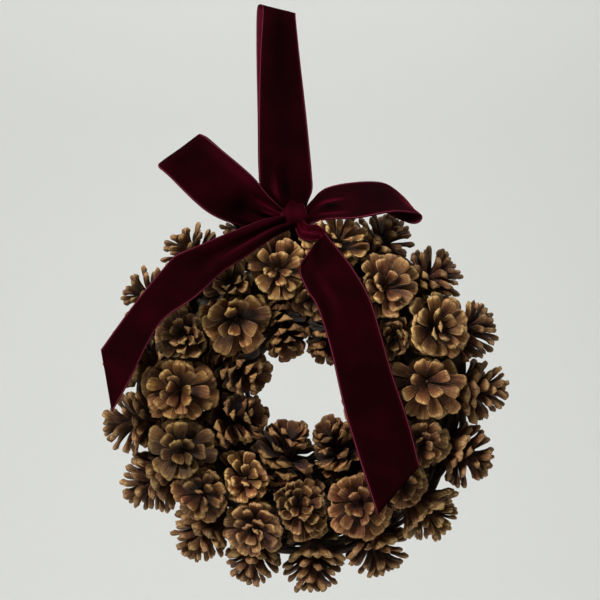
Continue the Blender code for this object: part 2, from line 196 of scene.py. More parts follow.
# Each cone: clock angle, tilt, length, width, and any lean along the ring, close to the frame's
FRONT_CONES = [
    (-11, 77, 50, 65),
    (-39, 106, 50, 69),
    (-85, 89, 52, 68),
    (-113, 82, 52, 68),
    (-145, 117, 46, 58),
    (-134, 72, 50, 62),
    (-179, 108, 48, 58),
    (-160, 73, 50, 62),
    (150, 94, 52, 66),
    (35, 70, 50, 68),
    (61, 59, 54, 72),
    (80.5, 86, 50, 71),
    (109, 86, 48, 58),
    (-61, 74, 48, 58),
    (12, 44, 52, 62),
    (55, 100, 46, 56),
    (-32, 70, 46, 56),
    (9, 112, 44, 52, -8),
    (129, 80, 46, 56),
    (25, 94, 44, 52),
]
OUTER_CONES = [
    (-38, 6, 68, 66),
    (-58, 4, 70, 66),
    (-79, 0, 62, 62),
    (-100, 10, 64, 64),
    (-121, 5, 66, 66),
    (-145, 8, 63, 64),
    (-164, 6, 62, 62),
    (176, 12, 61, 66),
    (154, 6, 63, 64),
    (132, 16, 59, 64),
    (110, 8, 64, 66),
    (88, 5, 66, 66),
    (68, 5, 67, 66),
    (47, 8, 64, 66),
    (24, 4, 63, 62, 10),
    (-20, -8, 54, 58),
]
INNER_CONES = [
    (-15, 148, 66, 60),
    (-65, 152, 67, 62),
    (-110, 151, 64, 64),
    (-164, 160, 78, 66),
    (145, 159, 72, 62),
    (24, 158, 66, 56),
    (62, 152, 56, 56),
    (102, 152, 60, 60),
]

# What sets a cone apart: how many scales it has, how pale, warm and grey it is, how strong the
# painted highlight on its rims is, how wide its scales are and how much they narrow up the core,
# how thick they are, whether their ends are pillows (0) or shells (1), how far they are bent back,
# the lift that all have and the lift that grows up the core, how much longer the lowest are, how
# much longer they all are, and the room it asks for
PLAIN = dict(
    count=42, pale=0.5, warm=0.5, grey=0.27, rim_highlight=0.5, wide=0.14, narrow=0.5, thick=4.2, cup=0.15,
    curl=20, lift=0, rise=0, spread=1.2, size=1.04, room=1.4,
)
GROUPS = {
    "front": dict(),
    "outer": dict(count=52, pale=0.56, warm=0.5, grey=0.35, rim_highlight=0.3, wide=0.12, narrow=0.64,
                  thick=6.2, curl=0, lift=10, spread=1.3, size=1.05, room=1.0),
    "inner": dict(count=60, pale=0.22, warm=0.9, grey=0.1, rim_highlight=0.7, wide=0.155, thick=5.0, cup=0.5,
                  curl=6, lift=3, rise=-6, spread=1.6, size=1.22, room=1.0),
}
STYLES = {
    "front_01": dict(pale=0.93, warm=0.35, wide=0.115, rise=6, size=1.12, room=1.6),
    "front_02": dict(pale=0.38, warm=0.55, grey=0.1, rim_highlight=1.0, wide=0.16, count=34, cup=0.5,
                     rise=-3, size=1.15, room=2.2),
    "front_03": dict(pale=0.42, warm=0.55, grey=0.1, wide=0.135, count=46, cup=0.0, rise=3,
                     curl=26),
    "front_04": dict(pale=0.08, warm=0.25, grey=0.1, rim_highlight=0.95, wide=0.15, count=36, cup=0.2,
                     rise=4, curl=24),
    "front_05": dict(pale=1.1, warm=0.45, rim_highlight=0.7, cup=0.0),
    "front_06": dict(pale=0.36, warm=0.7, grey=0.15, rim_highlight=0.6),
    "front_07": dict(pale=0.4, rim_highlight=1.0, wide=0.135, count=48, cup=1.0, curl=-2),
    "front_08": dict(pale=0.6, warm=0.7, rim_highlight=0.7, rise=8),
    "front_09": dict(pale=0.62, warm=0.8, grey=0.2, rim_highlight=0.5, wide=0.15, count=38, cup=0.3),
    "front_10": dict(pale=0.76, warm=0.55, rim_highlight=0.85, wide=0.15, size=1.12, room=1.9),
    "front_11": dict(pale=0.83, warm=0.4, rim_highlight=1.05, wide=0.16, rise=8, size=1.12, room=2.2),
    "front_12": dict(pale=0.95, warm=0.5, wide=0.14, count=30, rise=-4, size=1.14, room=2.0,
                     cup=0.3, spread=1.05),
    "front_14": dict(pale=0.3, rim_highlight=1.0, cup=0.9, curl=2),
    "front_15": dict(pale=1.25, warm=0.45, rim_highlight=0.7, wide=0.12, size=1.15, room=1.8),
    "front_16": dict(pale=0.4, rim_highlight=1.0, cup=0.9, curl=2),
    "front_17": dict(pale=0.4, rim_highlight=1.0, cup=0.9, curl=2, size=1.12),
    "front_20": dict(pale=0.4, warm=0.7, rim_highlight=0.9, cup=0.7, curl=2),
    "outer_01": dict(lift=2, wide=0.13),
    "outer_02": dict(lift=2, wide=0.13, spread=1.5),
    "outer_03": dict(size=1.15, spread=1.5),
    "outer_05": dict(lift=20, spread=1.45),
    "outer_06": dict(lift=20, spread=1.45),
    "outer_07": dict(lift=16, spread=1.45),
    "outer_08": dict(lift=14, spread=1.5),
    "outer_09": dict(lift=10, spread=1.8),
    "outer_10": dict(pale=0.66, warm=0.3, rim_highlight=0.9, wide=0.1, count=76, thick=5.5, lift=26,
                     spread=1.9, size=1.12),
    "outer_11": dict(warm=0.75, lift=10, spread=1.5),
    "outer_12": dict(pale=0.66, lift=18, wide=0.135, spread=1.5),
    "outer_14": dict(lift=5),
}

# Stations along each ribbon: the place of one edge and of the other, close to the frame's
STRAP_FRONT = [
    (-16, 0, 3.5, 16, 0, -5),
    (-13, -6, -2, 16.5, -6, -10),
    (-15, -8, -40, 20.5, -8, -45),
    (-16, -9, -98, 27, -9, -98),
    (-15.5, -10.5, -142, 32, -10.5, -146),
    (-13, -10.5, -164, 32.5, -10, -160),
    (-3, -9, -174, 29, -9, -170),
    (7, -8.2, -180, 26, -8.2, -178),
    (11, -8.2, -196, 25.3, -8.2, -196),
    (14, -11, -214, 28, -11, -214),
]
STRAP_BACK = [
    (14, 9, -214, 28, 9, -214),
    (11, -4.4, -196, 25.3, -4.4, -196),
    (11, -4.4, -179, 25.3, -4.4, -177.5),
    (0, -4, -172, 29, -4, -170),
    (-13, -3.5, -160, 31, -3.5, -160),
    (-16, -2, -142, 31, -2, -146),
    (-17, 2, -98, 26.5, 2, -98),
    (-18.5, 5, -40, 19, 5, -45),
    (-18.5, 6, -3, 16, 6, -11),
]
WRAP_CLOCK = math.radians(-1.0)
WRAP_RADIUS = 14.6 * MM
WRAP_HALF_WIDTH = 7.5 * MM
WRAP_STEPS = 4
LEFT_LOOP = [
    (10, -18, -181, 10, -18, -192),
    (-7, -25, -164, -26, -26, -192),
    (-22, -33, -146, -59, -36, -180),
    (-57, -34, -117, -94, -36, -148),
    (-64.2, -32, -112, -102, -34, -141.5),
    (-67.5, -27, -111.5, -102.5, -29, -138),
    (-64.2, -22, -112.3, -102, -24, -141.2),
    (-57, -18, -117, -94, -20, -147),
    (-32, -16, -140, -60, -18, -178),
    (-5, -16, -170, -26, -16, -191),
    (12, -14.5, -181, 12, -14.5, -192),
]
RIGHT_LOOP = [
    (24, -19, -180, 24, -19, -191),
    (38, -20, -161, 40, -38, -185.5),
    (66, -22, -153, 70, -54, -183),
    (97, -24, -153.5, 104, -60, -177),
    (120, -24, -173, 126, -57, -179.5),
    (108, -18, -168, 119, -49, -187.5),
    (70, -15, -165, 80, -34, -175),
    (42, -14, -172, 44, -22, -184),
    (24, -14.5, -181, 24, -14.5, -191),
]
LEFT_TAIL = [
    (12, -22, -182, 18, -22, -191),
    (-12, -42, -187, -2, -50, -201),
    (-39, -54, -197, -24, -64, -216),
    (-63, -60, -207, -45, -69, -230),
    (-84, -64, -215, -67, -71, -251),
    (-94, -65, -225, -95, -71, -271),
    (-117, -65, -253, -109, -70, -293),
    (-134, -62, -276, -124, -66, -324),
    (-150.5, -56, -299, -141, -58, -354),
]
RIGHT_TAIL = [
    (17, -22, -191, 24, -22, -187),
    (22, -34, -201.5, 30, -34, -191),
    (31, -46, -203.5, 38.5, -46, -190.5),
    (39, -55, -204, 45.5, -53, -196.5),
    (22, -62, -225, 47, -57, -200.5),
    (27, -69, -243, 66, -64, -223),
    (36, -71, -257, 82, -69, -250),
    (43, -72, -276, 92, -71, -280),
    (50, -72, -300, 102, -71, -314),
    (64, -72, -357, 117, -71, -357),
    (91, -73, -440, 127.5, -72, -396),
]
KNOT = [
    (13, -8, -177.5, 24, -8, -176.5),
    (11.5, -14, -176, 24.5, -14, -175),
    (8.5, -19, -178, 25.5, -19, -176),
    (5.5, -22, -182.5, 27.5, -22, -180),
    (6.5, -22, -188, 29, -22, -185.5),
    (9, -19.5, -194, 27, -19.5, -190.5),
    (11, -14, -196.5, 25, -14, -193.5),
    (12, -8, -195.5, 24.5, -8, -193),
]

# Dents and folds in the ribbons: the place as a station and a share across, the size in the same
# measures, the turn, the push along the normal in mm, and the painted light there: above zero a
# painted red highlight, below zero painted shade
DENTS = {
    "velvet_strap": [
        ((4.9, 0.50), (0.9, 0.11), 0.0, -2.0, -1.0),
        ((4.9, 0.30), (0.7, 0.06), 0.1, 1.2, 0.5),
        ((3.75, 0.46), (0.12, 0.14), 0.0, 0.5, 0.3),
        ((1.5, 0.50), (1.6, 0.26), 0.0, 0.0, -0.7),
    ],
    "bow_left_loop": [
        ((1.5, 0.58), (0.40, 0.26), 0.6, -2.0, -1.0),
        ((1.1, 0.30), (0.6, 0.07), 0.3, 1.0, 0.4),
        ((2.0, 0.10), (0.9, 0.10), 0.0, 0.4, 0.35),
        ((0.55, 0.16), (0.30, 0.03), 0.0, 0.5, 1.2),
        ((0.60, 0.30), (0.30, 0.03), 0.0, 0.5, 1.2),
        ((0.62, 0.44), (0.25, 0.03), 0.0, 0.5, 1.0),
    ],
    "bow_right_loop": [
        ((1.35, 0.62), (0.26, 0.10), 0.3, -2.4, -1.2),
        ((1.35, 0.42), (0.45, 0.06), 0.3, 1.2, 0.8),
        ((1.4, 0.80), (0.45, 0.05), -0.2, 1.2, 0.6),
        ((3.9, 0.60), (0.30, 0.40), 0.0, 0.0, 0.5),
        ((2.6, 0.45), (0.9, 0.40), 0.0, 0.0, -0.5),
    ],
    "bow_left_tail": [
        ((1.4, 0.60), (1.0, 0.08), 0.1, 0.8, 0.4),
        ((1.6, 0.42), (1.2, 0.10), 0.1, -0.8, -0.5),
        ((0.9, 0.2), (0.7, 0.15), 0.0, 0.0, 0.35),
    ],
    "bow_right_tail": [
        ((1.5, 0.5), (1.0, 0.5), 0.0, 0.0, 0.6),
        ((2.9, 0.7), (0.15, 0.4), 0.0, 0.0, 0.8),
        ((3.6, 0.5), (0.12, 0.6), 0.0, -0.4, -0.6),
        ((5.6, 0.35), (0.9, 0.08), 0.25, 0.5, 0.2),
    ],
    "bow_knot": [((3.2, 0.5), (0.8, 0.5), 0.0, 0.3, 0.35)],
}
RIBBON_THICKNESS = 1.0 * MM
RIBBON_COLUMNS = 36
RIBBON_ROWS = 9
RIPPLE_SIZE = 24 * MM

# Pleats: the narrowest width reckoned with, how far a ribbon can be drawn in, and their height
NARROWEST = 4 * MM
MOST_DRAWN_IN = 4.0
PLEAT_GAIN = 1.15
MOST_PLEAT = 2.6 * MM

# Colours. The scales' are listed by how far out along the scale they lie, dark towards the root
# partly as the scale's own colour and partly as painted shade in the cavities between scales; the
# bark's by how deep in its fibres
SCALE_TOP_ROOT_SHADE = [
    (0.20, (0.013, 0.0035, 0.0013)),
    (0.55, (0.044, 0.015, 0.0052)),
    (0.77, (0.150, 0.065, 0.024)),
    (0.90, (0.270, 0.148, 0.062)),
]
SCALE_UNDERSIDE_ROOT_SHADE = [
    (0.25, (0.016, 0.0045, 0.002)),
    (0.55, (0.052, 0.020, 0.010)),
    (0.76, (0.165, 0.080, 0.033)),
    (0.92, (0.285, 0.164, 0.072)),
]
SCALE_STAIN = (0.095, 0.030, 0.012)
# Painted highlight on the scales' rims, where light catches their edges
SCALE_RIM_HIGHLIGHT = (0.50, 0.325, 0.150)
SCALE_STREAK = (0.4, 0.36, 0.32)
# Painted shade in the furrows, where the ridges' bump is low
SCALE_FURROW_SHADE = (0.46, 0.36, 0.30)
SCALE_SPECKLE = (0.34, 0.24, 0.13)
BARK_FIBRES = [
    (0.3, (0.020, 0.012, 0.008)),
    (0.5, (0.075, 0.047, 0.029)),
    (0.72, (0.170, 0.125, 0.085)),
]
BARK_GREY = (0.16, 0.145, 0.12)
VELVET_DARK = (0.0090, 0.0004, 0.0012)
# Lighter patches of brushed pile: partly the velvet's own nap, partly painted sheen
VELVET_NAP_AND_SHEEN = (0.0170, 0.0006, 0.0020)
# Painted red sheen on the ribbons' edges and folds
VELVET_RED_SHEEN = (0.085, 0.003, 0.014)
# Painted shade in the ribbons' creases
VELVET_SHADE = (0.0025, 0.0003, 0.0006)
VELVET_SHEEN = (0.45, 0.008, 0.04, 1.0)
VELVET_THREAD = (0.17, 0.030, 0.050)
VELVET_BACK_DARK = (0.055, 0.004, 0.011)
VELVET_BACK_LIGHT = (0.085, 0.007, 0.019)
STAGE_COLOUR = (0.80, 0.81, 0.79)
ROOM_COLOUR = (0.86, 0.88, 0.86, 1.0)

# What the core's points say in place of a scale: along, across, face and tone; the core takes the
# scales' dark root colour, partly painted shade
CORE_MAP = [0.15, 0.5, 0.0, 0.3]

# The camera, the backdrop and the lights: each light's place, target, size, power and colour
EYE = Vector((0.0223, -1.5939, -0.1198))
LOOKS_AT = Vector((0.0223, 0.0, -0.2592))
ROLL = math.radians(0.5)
LENS = 106.67
SENSOR = 36.0
FLOOR_HEIGHT = -1.25
FLOOR_NEAR = -9.0
STAGE_DEPTH = 3.4
STAGE_TOP = 6.0
STAGE_HALF_WIDTH = 9.0
STAGE_BEND = 1.2
BEND_STEPS = 12
MIDDLE = (0.02, 0.0, -0.3)
LAMPS = {
    "key": ((-1.4, -1.7, 1.3), MIDDLE, 0.8, 80.0, (1.0, 0.985, 0.96)),
    "fill": ((1.9, -2.2, 0.2), MIDDLE, 1.6, 5.0, (0.95, 0.97, 1.0)),
    "backdrop_wash": ((0.0, 1.2, 3.2), (0.0, 3.3, -0.6), 3.0, 92.0, (1.0, 1.0, 1.0)),
}
ROOM_LIGHT = 0.13
ROOM_SEEN = 0.8


def smooth_path(points, per_span, closed):
    """A curve through the points, with per_span steps from each to the next."""
    last = len(points) - 1
    spans = len(points) if closed else last
    found = []
    for i in range(spans):
        if closed:
            a, b, c, d = (points[(i + k) % len(points)] for k in (-1, 0, 1, 2))
        else:
            a, b, c, d = (points[min(max(i + k, 0), last)] for k in (-1, 0, 1, 2))
        for s in range(per_span):
            t = s / per_span
            bend = (c - a) * t + (2 * a - 5 * b + 4 * c - d) * t**2
            bend += (3 * b - a - 3 * c + d) * t**3
            found.append(b + 0.5 * bend)
    if not closed:
        found.append(points[last])
    return found


def add_object(name, data):
    obj = bpy.data.objects.new(name, data)
    bpy.context.scene.collection.objects.link(obj)
    return obj


def new_piece(name, points, faces, made_of, maps):
    """A smooth mesh object with one colour-like attribute for each name in maps."""
    mesh = bpy.data.meshes.new(name)
    mesh.from_pydata([tuple(p) for p in points], [], faces)
    mesh.polygons.foreach_set("use_smooth", [True] * len(mesh.polygons))
    for label, values in maps.items():
        attribute = mesh.attributes.new(label, "FLOAT_COLOR", "POINT")
        attribute.data.foreach_set("color", np.asarray(values, dtype=np.float32).ravel())
    mesh.materials.append(made_of)
    mesh.update()
    return add_object(name, mesh)


def tube_faces(rows, sides, looped=False):
    """Quads between rings of points that follow each other, and back to the first if looped."""
    faces = []
    for i in range(rows if looped else rows - 1):
        row, above = i * sides, (i + 1) % rows * sides
        for j in range(sides):
            k = (j + 1) % sides
            faces.append((row + j, row + k, above + k, above + j))
    return faces


def dress(obj, node):
    """A piece of the one body, shown in place of a node."""
    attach(obj, "root")
    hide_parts(node)


# Materials


class Nodes:
    """A material's node tree, with short ways to add to it."""

    def __init__(self, name):
        self.material = bpy.data.materials.new(name)
        self.material.use_nodes = True
        self.tree = self.material.node_tree
        self.shader = self.tree.nodes["Principled BSDF"]

    def add(self, kind, inputs=None, **settings):
        node = self.tree.nodes.new(kind)
        for key, value in settings.items():
            setattr(node, key, value)
        for key, value in (inputs or {}).items():
            self.put(value, node.inputs[key])
        return node

    def put(self, value, socket):
        if isinstance(value, bpy.types.NodeSocket):
            self.tree.links.new(value, socket)
        else:
            socket.default_value = value

    def maths(self, operation, a, b=0.0, clamp=False):
        node = self.add("ShaderNodeMath", {0: a, 1: b}, operation=operation, use_clamp=clamp)
        return node.outputs[0]

    def times(self, a, b, clamp=False):
        return self.maths("MULTIPLY", a, b, clamp)

    def ramp(self, value, stops):
        node = self.add("ShaderNodeValToRGB", {0: value})
        elements = node.color_ramp.elements
        while len(elements) < len(stops):
            elements.new(1.0)
        for element, (place, colour) in zip(elements, stops):
            element.position = place
            element.color = (*colour, 1.0)
        return node.outputs["Color"]

    def level(self, value, low, high):
        """0 below low, 1 above high, straight between."""
        node = self.add("ShaderNodeMapRange", {"Value": value, "From Min": low, "From Max": high})
        return node.outputs[0]

    def mix(self, share, a, b, blend="MIX"):
        node = self.add("ShaderNodeMix", data_type="RGBA", blend_type=blend)
        self.put(share, node.inputs[0])
        self.put(a if not isinstance(a, tuple) else (*a, 1.0), node.inputs[6])
        self.put(b if not isinstance(b, tuple) else (*b, 1.0), node.inputs[7])
        return node.outputs[2]

    def noise(self, scale, detail=3.0, roughness=0.5, where=None):
        inputs = {"Scale": scale, "Detail": detail, "Roughness": roughness}
        node = self.add("ShaderNodeTexNoise", inputs)
        if where is None:
            where = self.add("ShaderNodeTexCoord").outputs["Object"]
        self.put(where, node.inputs["Vector"])
        return node.outputs[0]

    def attribute(self, name):
        """The three colour channels and the alpha of an attribute."""
        node = self.add("ShaderNodeAttribute", attribute_name=name)
        split = self.add("ShaderNodeSeparateColor", {0: node.outputs["Color"]})
        return (*split.outputs[:3], node.outputs["Alpha"])

    def vector(self, x, y, z):
        return self.add("ShaderNodeCombineXYZ", {0: x, 1: y, 2: z}).outputs[0]

    def bump(self, height, strength, distance, normal=None):
        inputs = {"Height": height, "Strength": strength, "Distance": distance}
        node = self.add("ShaderNodeBump", inputs)
        if normal is not None:
            self.put(normal, node.inputs["Normal"])
        return node.outputs[0]

    def set(self, **inputs):
        """Set or link the shader's own sockets, with _ for the spaces in their names."""
        for key, value in inputs.items():
            self.put(value, self.shader.inputs[key.replace("_", " ")])


def cone_material():
    """Woody scales: roots darkened partly by painted shade, tan ends with painted highlights on
    their rims, painted shade in the furrows, and ridges that run out to the tip.
    """
    n = Nodes("cone_scales_finish")
    along, across, upper, tone = n.attribute("scale_map")
    pale, warm, rim_highlight_share, grey = n.attribute("cone_map")
    ridge_place = n.vector(n.times(across, 8.0), n.times(along, 1.5), n.times(tone, 90.0))
    ridges = n.noise(1.0, 2.0, 0.55, ridge_place)
    speckle = n.noise(900.0, 4.0, 0.6)
    patches = n.noise(110.0, 3.0, 0.55)
    streak_place = n.vector(n.times(across, 22.0), n.times(along, 2.2), n.times(tone, 40.0))
    streaks = n.noise(1.0, 3.0, 0.6, streak_place)
    wander = n.times(n.maths("SUBTRACT", patches, 0.5), 0.5)
    reach = n.maths("ADD", along, wander)
    # The ramps darken each scale towards its root: partly its own colour, partly painted shade in
    # the cavities between the scales
    top = n.ramp(reach, SCALE_TOP_ROOT_SHADE)
    under = n.ramp(reach, SCALE_UNDERSIDE_ROOT_SHADE)
    colour = n.mix(n.level(upper, 0.3, 0.6), under, top)
    stains = n.noise(75.0, 4.0, 0.6)
    stain = n.times(n.level(stains, 0.48, 0.66), n.level(along, 0.95, 0.6))
    colour = n.mix(n.times(stain, 0.75), colour, SCALE_STAIN)
    # Painted highlight along the sides and tips of the scales, on the crests of the ridges
    edge = n.maths("ABSOLUTE", n.maths("SUBTRACT", across, 0.5))
    side_rim_highlight = n.times(n.level(edge, 0.43, 0.47), n.level(along, 0.5, 0.8))
    side_rim_highlight = n.times(side_rim_highlight, n.level(patches, 0.36, 0.52))
    tip_rim_highlight = n.level(along, 0.90, 0.95)
    rim_highlight = n.maths("MAXIMUM", side_rim_highlight, tip_rim_highlight)
    rim_highlight = n.times(rim_highlight, n.level(ridges, 0.25, 0.55))
    rim_highlight = n.times(rim_highlight, n.maths("ADD", rim_highlight_share, 0.35), clamp=True)
    colour = n.mix(rim_highlight, colour, SCALE_RIM_HIGHLIGHT)
    lines = n.level(streaks, 0.42, 0.62)
    colour = n.mix(n.times(lines, 0.5), colour, SCALE_STREAK, "MULTIPLY")
    # Painted shade in the furrows, where the ridges' bump is low
    furrow_shade = n.level(ridges, 0.54, 0.36)
    colour = n.mix(n.times(furrow_shade, 0.75), colour, SCALE_FURROW_SHADE, "MULTIPLY")
    colour = n.mix(n.times(n.level(speckle, 0.5, 0.75), 0.3), colour, SCALE_SPECKLE)
    bright = n.maths("ADD", n.times(pale, 1.1), n.times(tone, 0.6))
    bright = n.maths("ADD", bright, 0.23)
    hue = n.maths("SUBTRACT", 0.518, n.times(warm, 0.024))
    own_hue = n.maths("FRACT", n.times(tone, 7.3))
    hue = n.maths("SUBTRACT", hue, n.times(own_hue, 0.018))
    rich = n.maths("SUBTRACT", 1.18, n.times(grey, 0.35))
    shift = n.add("ShaderNodeHueSaturation",
                  {"Hue": hue, "Saturation": rich, "Value": bright, "Color": colour})
    rough = n.maths("ADD", n.times(patches, 0.25), 0.5)
    relief = n.bump(ridges, 0.8, 1.1 * MM)
    relief = n.bump(streaks, 0.9, 0.9 * MM, relief)
    relief = n.bump(speckle, 0.35, 0.25 * MM, relief)
    n.set(Base_Color=shift.outputs[0], Roughness=rough, Normal=relief, Specular_IOR_Level=0.35)
    return n.material


def bark_material():
    """Dry vine: grey-brown with fibres that run along each strand."""
    n = Nodes("vine_bark_finish")
    along, around, strand, _ = n.attribute("bark_map")
    place = n.vector(n.times(along, 30.0), n.times(around, 9.0), strand)
    fibres = n.noise(3.0, 5.0, 0.65, place)
    patches = n.noise(70.0, 3.0, 0.5)
    grey = n.times(n.level(patches, 0.5, 0.72), 0.5)
    colour = n.mix(grey, n.ramp(fibres, BARK_FIBRES), BARK_GREY)
    n.set(Base_Color=colour, Normal=n.bump(fibres, 0.7, 0.9 * MM), Roughness=0.85)
    return n.material


def velvet_material():
    """Burgundy velvet: near black face on, red where its pile is seen from the side, with painted
    red sheen on the edges and folds, painted shade in the creases, and lighter patches partly
    painted as sheen.
    """
    n = Nodes("burgundy_velvet_finish")
    across, face, _, painted_fold_light = n.attribute("ribbon_map")
    # Lighter patches of brushed pile, partly the velvet's own nap and partly painted sheen
    nap_and_sheen_noise = n.noise(34.0, 2.0, 0.5)
    pile = n.noise(2600.0, 2.0, 0.5)
    nap_and_sheen = n.level(nap_and_sheen_noise, 0.42, 0.68)
    colour = n.mix(nap_and_sheen, VELVET_DARK, VELVET_NAP_AND_SHEEN)
    edge = n.maths("ABSOLUTE", n.maths("SUBTRACT", across, 0.5))
    # Painted red sheen towards the edges, where the pile would catch the light
    red_edge_sheen = n.times(n.level(edge, 0.41, 0.49), 0.2)
    # Painted red highlight on the folds, from the dents' fold light, and on the edges
    red = n.maths("MAXIMUM", n.level(painted_fold_light, 0.5, 1.0), red_edge_sheen)
    colour = n.mix(red, colour, VELVET_RED_SHEEN)
    # Painted shade in the creases, where the fold light is below zero
    colour = n.mix(n.level(painted_fold_light, 0.5, 0.0), colour, VELVET_SHADE)
    back = n.mix(n.level(n.noise(60.0), 0.4, 0.7), VELVET_BACK_DARK, VELVET_BACK_LIGHT)
    colour = n.mix(n.level(face, 0.6, 0.4), colour, back)
    thread = n.times(n.level(edge, 0.470, 0.478), n.level(edge, 0.494, 0.486))
    colour = n.mix(n.times(thread, 0.8), colour, VELVET_THREAD)
    n.set(Base_Color=colour, Normal=n.bump(pile, 0.4, 0.3 * MM), Roughness=0.85,
          Specular_IOR_Level=0.015, Sheen_Weight=0.3, Sheen_Roughness=0.3,
          Sheen_Tint=VELVET_SHEEN)
    return n.material


def plain_material(name, colour, roughness):
    n = Nodes(name)
    n.set(Base_Color=(*colour, 1.0), Roughness=roughness)
    return n.material


# The ribbons


def grid_normals(grid, closed):
    """Unit normals of a grid of points, on the side that faces out of the ribbon."""
    if closed:
        along = np.roll(grid, -1, axis=0) - np.roll(grid, 1, axis=0)
    else:
        along = np.gradient(grid, axis=0)
    across = np.gradient(grid, axis=1)
    normals = np.cross(along, across)
    return normals / np.linalg.norm(normals, axis=2, keepdims=True)


def ribbon_grid(stations, closed, folds, phase, crown, gathered):
    """Points across and along the ribbon, pleated where it is drawn in to less than its width."""
    first = np.array(smooth_path([Vector(s[:3]) * MM for s in stations], RIBBON_ROWS, closed))
    second = np.array(smooth_path([Vector(s[3:]) * MM for s in stations], RIBBON_ROWS, closed))
    share = np.linspace(0.0, 1.0, RIBBON_COLUMNS)[None, :, None]
    grid = first[:, None, :] * (1 - share) + second[:, None, :] * share
    width = np.linalg.norm(second - first, axis=1)
    drawn_in = np.clip(gathered / np.maximum(width, NARROWEST), 1.0, MOST_DRAWN_IN)
    pleat = np.sqrt(drawn_in**2 - 1.0) * width / (2 * math.pi * folds) * PLEAT_GAIN
    pleat = np.minimum(pleat, MOST_PLEAT)
    bumps = np.sin(2 * math.pi * folds * share[..., 0] + phase) * pleat[:, None]
    bow = crown * (1.0 - (2.0 * share[..., 0] - 1.0) ** 2)
    return grid + grid_normals(grid, closed) * (bumps + bow)[..., None]


def ripple(grid, closed, height):
    """Soft waves, so that no face of the cloth is flat."""
    flat = grid.reshape(-1, 3)
    waves = np.array([noise.noise(Vector(p) / RIPPLE_SIZE) for p in flat])
    waves = waves.reshape(grid.shape[:2])
    return grid + grid_normals(grid, closed) * (waves * height)[..., None]


def ribbon_shell(grid, closed, flipped, painted_fold_light):
    """Points, faces and map of a closed shell round a grid of points."""
    normals = grid_normals(grid, closed)
    if flipped:
        normals = -normals
    rows, columns = grid.shape[:2]
    front = (grid + normals * RIBBON_THICKNESS / 2).reshape(-1, 3)
    back = (grid - normals * RIBBON_THICKNESS / 2).reshape(-1, 3)
    count = rows * columns
    faces = []
    for i in range(rows if closed else rows - 1):
        k = (i + 1) % rows
        for j in range(columns - 1):
            a, b = i * columns + j, k * columns + j
            faces.append((a, b, b + 1, a + 1))
            faces.append((count + a, count + a + 1, count + b + 1, count + b))
        first, second = i * columns, k * columns
        faces.append((first, count + first, count + second, second))
        first += columns - 1
        second += columns - 1
        faces.append((first, second, count + second, count + first))
    if not closed:
        for start, turn in ((0, 1), (count - columns, -1)):
            for j in range(columns - 1):
                end = (start + j, start + j + 1, count + start + j + 1, count + start + j)
                faces.append(end[::turn])
    if flipped:
        faces = [face[::-1] for face in faces]
    across = np.tile(np.linspace(0.0, 1.0, columns), rows)
    along = np.repeat(np.linspace(0.0, 1.0, rows), columns)
    red = np.broadcast_to(painted_fold_light, (rows, columns)).ravel()
    maps = []
    for face in (1.0, 0.0):
        maps.append(np.stack([across, np.full(count, face), along, red], axis=1))
    return np.concatenate([front, back]), faces, np.concatenate(maps)


def dent(grid, closed, dents):
    """The grid with its dents and folds, and the painted light at each point: 1 a red painted
    highlight, 0 painted shade.
    """
    rows, columns = grid.shape[:2]
    station = np.arange(rows)[:, None] / RIBBON_ROWS
    share = np.linspace(0.0, 1.0, columns)[None, :]
    depth = np.zeros((rows, columns))
    red = np.zeros((rows, columns))
    for (at, across), (length, width), turn, push, fold_light_amount in dents:
        along = (station - at) / length
        side = (share - across) / width
        along, side = along + turn * side, side - turn * along
        near = np.exp(-(along**2 + side**2))
        depth += push * MM * near
        red += fold_light_amount * near
    dented = grid + grid_normals(grid, closed) * depth[..., None]
    return dented, 0.5 + 0.5 * np.clip(red, -1.0, 1.0)


def ribbon_piece(name, stations, velvet, folds, phase, closed=False, flipped=False,
                 crown=0.0, wave=0.8 * MM, gathered=42 * MM):
    grid = ribbon_grid(stations, closed, folds, phase, crown, gathered)
    grid = ripple(grid, closed, wave)
    grid, painted_fold_light = dent(grid, closed, DENTS[name])
    points, faces, values = ribbon_shell(grid, closed, flipped, painted_fold_light)
    return new_piece(name, points, faces, velvet, {"ribbon_map": values})


def directions(clock, tilt):
    """Unit vectors at a clock angle: out from the ring, tilted to the front, and along the ring."""
    outward = Vector((math.sin(clock), 0.0, math.cos(clock)))
    along = Vector((math.cos(clock), 0.0, -math.sin(clock)))
    axis = math.cos(tilt) * outward + math.sin(tilt) * Vector((0.0, -1.0, 0.0))
    return axis, along


def vine_centre(clock):
    return CENTRE + RING_RADIUS * Vector((math.sin(clock), 0.0, math.cos(clock)))


def strap_stations():
    """Down the front, round the vine and up behind."""
    middle = vine_centre(WRAP_CLOCK)
    wrap = []
    for step in range(WRAP_STEPS + 1):
        turn = math.pi * step / WRAP_STEPS
        y = -WRAP_RADIUS * math.cos(turn) / MM
        z = (middle.z - WRAP_RADIUS * math.sin(turn)) / MM
        left = (middle.x - WRAP_HALF_WIDTH) / MM
        right = (middle.x + WRAP_HALF_WIDTH) / MM
        wrap.append((left, y, z, right, y, z))
    return STRAP_FRONT + wrap + STRAP_BACK


